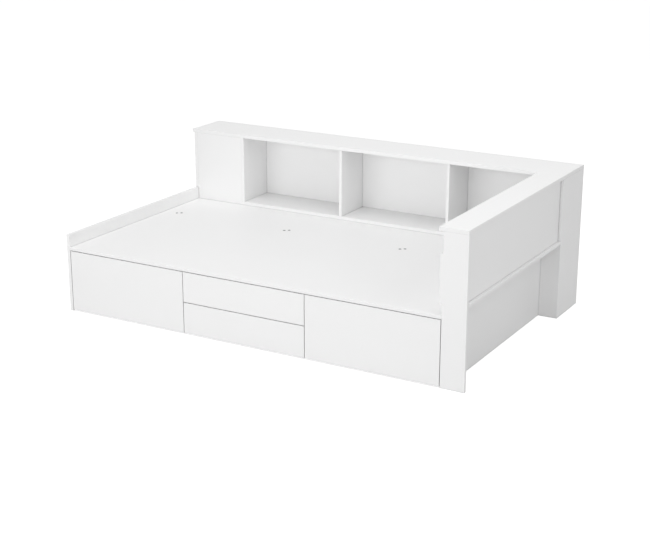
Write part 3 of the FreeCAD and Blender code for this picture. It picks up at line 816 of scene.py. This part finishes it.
@dataclass
class DrawerFittings:
    """Screws, cams and levers of one drawer, in millimetres.

    The margin of the box screws is a share of the back's height, which keeps their heads
    clear of the slides in the low drawers. The lever's ease is the share of its thickness
    that its bevel takes.
    """

    drawer: Drawer
    slide_steel: float = 1.2
    screw_places: tuple[float, ...] = (35.0, 290.0, 640.0)
    slide_screw: Head = Head(radius=3.2, height=1.7, rim=0.6)
    box_screw: Head = Head(radius=3.6, height=2.0)
    cam: Head = Head(radius=7.5, height=0.7, rim=0.2, recess=Recess.SLOT, reach=5.0, depth=0.6)
    cam_setback: float = 34.0
    cam_margin: float = 24.0
    box_screw_margin: float = 0.095
    lever_place: float = 185.0
    lever_thickness: float = 2.6
    lever_ease: float = 0.3
    lever_profile: tuple[tuple[float, float], ...] = (
        (0.0, 4.5), (2.0, 6.6), (5.0, 7.4), (12.0, 7.4), (16.0, 5.6), (19.0, 3.6), (26.0, 3.0),
        (44.0, 2.6), (49.0, 2.0), (51.0, 1.0))

    @property
    def body(self) -> str:
        """Body that the drawer's fittings move with."""
        return "drawer_" + self.drawer.value

    def build(self, paint: Paint) -> None:
        """Make all the fittings of the drawer.

        Args:
            paint: gives each piece its material.
        """
        self.make_slide_screws(paint)
        self.make_levers(paint)
        self.make_cams(paint)
        self.make_box_screws(paint)

    def webs(self) -> Iterator[tuple[Vector, Vector]]:
        """Find where each drawer member's web starts at the front.

        Returns:
            That point and the direction that the web faces, for each side.
        """
        side_low, side_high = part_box(self.body + "_sides")
        run_low, run_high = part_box(self.body + "_slide_members")
        height = (run_low.z + run_high.z) / 2
        for side in Side:
            x = side.face(side_low, side_high) + side.value * self.slide_steel * MILLIMETRE
            yield Vector((x, run_low.y, height)), Vector((side.value, 0.0, 0.0))

    def make_slide_screws(self, paint: Paint) -> None:
        """Screw both drawer members to the drawer's sides.

        Args:
            paint: gives the piece its material.
        """
        shape = Shape()
        for web, facing in self.webs():
            for place in self.screw_places:
                self.slide_screw.add(shape, web + Vector((0.0, place * MILLIMETRE, 0.0)), facing)
        shape.piece(self.body + "_slide_screws", Slot.ZINC_STEEL, self.body, paint)

    def make_levers(self, paint: Paint) -> None:
        """Make the lever in each drawer member that lets the drawer off its slides.

        Args:
            paint: gives the piece its material.
        """
        shape = Shape()
        outline = list(self.lever_profile) + [(along, -half) for along, half in self.lever_profile[::-1]]
        for web, facing in self.webs():
            points = [web + Vector((0.0, self.lever_place + along, half)) * MILLIMETRE
                      for along, half in outline]
            shape.plate(points, facing * self.lever_thickness * MILLIMETRE, self.lever_ease)
        shape.piece(self.body + "_slide_levers", Slot.BLACK_PLASTIC, self.body, paint)

    def make_cams(self, paint: Paint) -> None:
        """Make the cams in the sides that draw the front up.

        Args:
            paint: gives the piece its material.
        """
        shape = Shape()
        back_low, back_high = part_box(self.body + "_back")
        side_low, side_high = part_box(self.body + "_sides")
        y = side_low.y + self.cam_setback * MILLIMETRE
        for side in Side:
            for height in (back_low.z + self.cam_margin * MILLIMETRE,
                           side_high.z - self.cam_margin * MILLIMETRE):
                foot = Vector((side.face(back_low, back_high), y, height))
                self.cam.add(shape, foot, Vector((-side.value, 0.0, 0.0)))
        shape.piece(self.body + "_front_cams", Slot.CAM_ZINC, self.body, paint)

    def make_box_screws(self, paint: Paint) -> None:
        """Screw the sides to the back.

        Args:
            paint: gives the piece its material.
        """
        shape = Shape()
        back_low, back_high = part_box(self.body + "_back")
        side_low, side_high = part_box(self.body + "_sides")
        middle = (back_low + back_high) / 2
        margin = (back_high.z - back_low.z) * self.box_screw_margin
        for side in Side:
            for height in (back_low.z + margin, back_high.z - margin):
                foot = Vector((side.face(side_low, side_high), middle.y, height))
                self.box_screw.add(shape, foot, Vector((side.value, 0.0, 0.0)))
        shape.piece(self.body + "_box_screws", Slot.ZINC_STEEL, self.body, paint)


@dataclass
class BayFittings:
    """What is fastened to the panels behind the drawers, in millimetres.

    The flange's ease is the share of its thickness that its bevel takes.
    """

    screw: Head = Head(radius=3.3, height=1.8)
    flange_reach: float = 19.0
    flange_radius: float = 8.0
    flange_thickness: float = 2.2
    flange_ease: float = 0.2
    flange_screw: float = 14.5
    flange_hole: float = 6.0
    bracket_place: float = 86.0
    bracket_spread: float = 24.0
    bracket_steel: float = 2.0
    bracket_drop: float = 20.0

    def build(self, paint: Paint) -> None:
        """Make the fittings behind the drawers.

        Args:
            paint: gives each piece its material.
        """
        self.make_latch_flanges(paint)
        self.make_bracket_screws(paint)

    def make_latch_flanges(self, paint: Paint) -> None:
        """Make the flange round each push latch, and its two screws.

        Args:
            paint: gives both pieces their materials.
        """
        flanges = Shape()
        screws = Shape()
        front = Vector((0.0, -1.0, 0.0))
        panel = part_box("bay_back_panels")[0].y
        for drawer in Drawer:
            low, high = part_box("drawer_" + drawer.value + "_latch_plunger")
            middle = Vector(((low.x + high.x) / 2, panel, (low.z + high.z) / 2))
            rim = [middle + point for point in self.oval(self.flange_reach, self.flange_radius)]
            hole = [middle + point for point in self.oval(self.flange_hole, self.flange_hole)]
            flanges.plate(rim, front * self.flange_thickness * MILLIMETRE, self.flange_ease, hole)
            for side in Side:
                off_middle = Vector((side.value * self.flange_screw, -self.flange_thickness, 0.0))
                self.screw.add(screws, middle + off_middle * MILLIMETRE, front)
        flanges.piece("latch_flanges", Slot.GREY_PLASTIC, "frame", paint)
        screws.piece("latch_screws", Slot.ZINC_STEEL, "frame", paint)

    def oval(self, reach: float, radius: float) -> Iterator[Vector]:
        """Give the points round a flat oval with round ends.

        Args:
            reach: middle of the oval to the end of it, along X.
            radius: of its ends.

        Returns:
            The points in metres, from the oval's middle.
        """
        for index in range(Shape.SIDES):
            turn = 2 * math.pi * (index + 0.5) / Shape.SIDES
            end = math.copysign(reach - radius, math.cos(turn))
            yield Vector((end + radius * math.cos(turn), 0.0, radius * math.sin(turn))) * MILLIMETRE

    def make_bracket_screws(self, paint: Paint) -> None:
        """Screw the upright leg of each platform bracket to the panel behind it.

        Args:
            paint: gives the piece its material.
        """
        shape = Shape()
        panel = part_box("bay_back_panels")[0].y
        for board in PlatformBoard:
            low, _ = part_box("platform_board_" + board)
            for side in Side:
                along = self.bracket_place + side.value * self.bracket_spread / 2
                off_corner = Vector((along, -self.bracket_steel, -self.bracket_drop))
                foot = Vector((low.x, panel, low.z)) + off_corner * MILLIMETRE
                self.screw.add(shape, foot, Vector((0.0, -1.0, 0.0)))
        shape.piece("bracket_screws", Slot.ZINC_STEEL, "frame", paint)


# ---------------------------------------------------------------- studio
@dataclass
class Camera:
    """The viewpoint of the photograph, in metres and degrees, with the lens in millimetres."""

    place: Triple = (3.1921, -5.5256, 2.2179)
    turn: float = 29.976
    tilt: float = 17.888
    lens: float = 76.351
    sensor_width: float = 36.0
    far_limit: float = 100.0

    def build(self) -> None:
        """Make the camera and look through it."""
        data = bpy.data.cameras.new("camera")
        data.lens = self.lens
        data.sensor_width = self.sensor_width
        data.clip_end = self.far_limit
        camera = bpy.data.objects.new("camera", data)
        camera.location = self.place
        camera.rotation_euler = (math.radians(90.0 - self.tilt), 0.0, math.radians(self.turn))
        bpy.context.scene.collection.objects.link(camera)
        bpy.context.scene.camera = camera


@dataclass(frozen=True)
class Softbox:
    """A broad square lamp that faces the middle of the bed."""

    name: str
    direction: Triple
    watts: float
    distance: float = 4.5
    size: float = 3.0

    def build(self) -> None:
        """Make the lamp."""
        data = bpy.data.lights.new(self.name, "AREA")
        data.energy = self.watts
        data.size = self.size
        lamp = bpy.data.objects.new(self.name, data)
        away = Vector(self.direction).normalized()
        lamp.location = (cad_low + cad_high) / 2 + away * self.distance
        lamp.rotation_mode = "QUATERNION"
        lamp.rotation_quaternion = away.to_track_quat("Z", "Y")
        bpy.context.scene.collection.objects.link(lamp)


@dataclass
class Studio:
    """A pale floor in soft light from all round, with a few broad lamps."""

    ambient: float = 0.50
    lamps: tuple[Softbox, ...] = (
        Softbox("low_left_lamp", (-0.35, -1.0, 0.12), 55.0),
        Softbox("low_front_lamp", (0.25, -1.0, 0.15), 42.0),
        Softbox("right_lamp", (0.9, -0.2, 0.45), 33.0),
        Softbox("top_lamp", (0.0, -0.1, 1.0), 74.0),
    )
    floor_colour: Colour = (0.55, 0.55, 0.55)
    floor_lift: float = 0.73
    floor_size: float = 60.0
    floor_drop: float = 0.0003
    floor_cells: int = 4

    def build(self) -> None:
        """Make the world, the lamps and the floor."""
        self.make_world()
        for lamp in self.lamps:
            lamp.build()
        self.make_floor()
        bpy.context.scene.view_settings.view_transform = "Standard"

    def seen_directly(self, sketch: Sketch) -> Socket:
        """Tell rays that show the studio itself from those that light the piece.

        Args:
            sketch: adds nodes to the tree that needs the mask.

        Returns:
            1 for camera, glossy and transmission rays, and 0 for the others.
        """
        path = sketch.add("LightPath").outputs
        glossy = sketch.calc("ADD", path["Is Camera Ray"], path["Is Glossy Ray"])
        return sketch.calc("ADD", glossy, path["Is Transmission Ray"], clamp=True)

    def make_world(self) -> None:
        """White where it is seen, and plain ambient light elsewhere."""
        world = bpy.data.worlds.new("studio")
        world.use_nodes = True
        world.node_tree.nodes.clear()
        sketch = Sketch(world.node_tree)
        strength = sketch.calc("MULTIPLY_ADD", self.seen_directly(sketch), 1.0 - self.ambient,
                               self.ambient)
        background = sketch.add("Background", {"Color": opaque(WHITE), "Strength": strength})
        sketch.add("OutputWorld", {"Surface": background.outputs["Background"]})
        bpy.context.scene.world = world

    def make_floor(self) -> None:
        """A pale floor that looks white where no shadow falls on it."""
        material = bpy.data.materials.new("floor")
        material.use_nodes = True
        material.node_tree.nodes.clear()
        sketch = Sketch(material.node_tree)
        shader = sketch.add("BsdfDiffuse", {"Color": opaque(self.floor_colour)})
        lift = sketch.calc("MULTIPLY", self.seen_directly(sketch), self.floor_lift)
        glow = sketch.add("Emission", {"Color": opaque(WHITE), "Strength": lift})
        both = sketch.add("AddShader", {0: shader.outputs["BSDF"], 1: glow.outputs["Emission"]})
        sketch.add("OutputMaterial", {"Surface": both.outputs["Shader"]})
        mesh = bpy.data.meshes.new("floor")
        shape = bmesh.new()
        bmesh.ops.create_grid(shape, x_segments=self.floor_cells, y_segments=self.floor_cells,
                              size=self.floor_size / 2)
        bmesh.ops.translate(shape, verts=shape.verts, vec=(0.0, 0.0, -self.floor_drop))
        shape.to_mesh(mesh)
        shape.free()
        mesh.materials.append(material)
        floor = bpy.data.objects.new("floor", mesh)
        bpy.context.scene.collection.objects.link(floor)


def main() -> None:
    """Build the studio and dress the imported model."""
    Camera().build()
    Studio().build()
    paint = Paint(FINISHES)
    paint.dress_nodes(frame["record"])
    for drawer in Drawer:
        DrawerFittings(drawer).build(paint)
    BayFittings().build(paint)


if __name__ == "__main__":
    main()
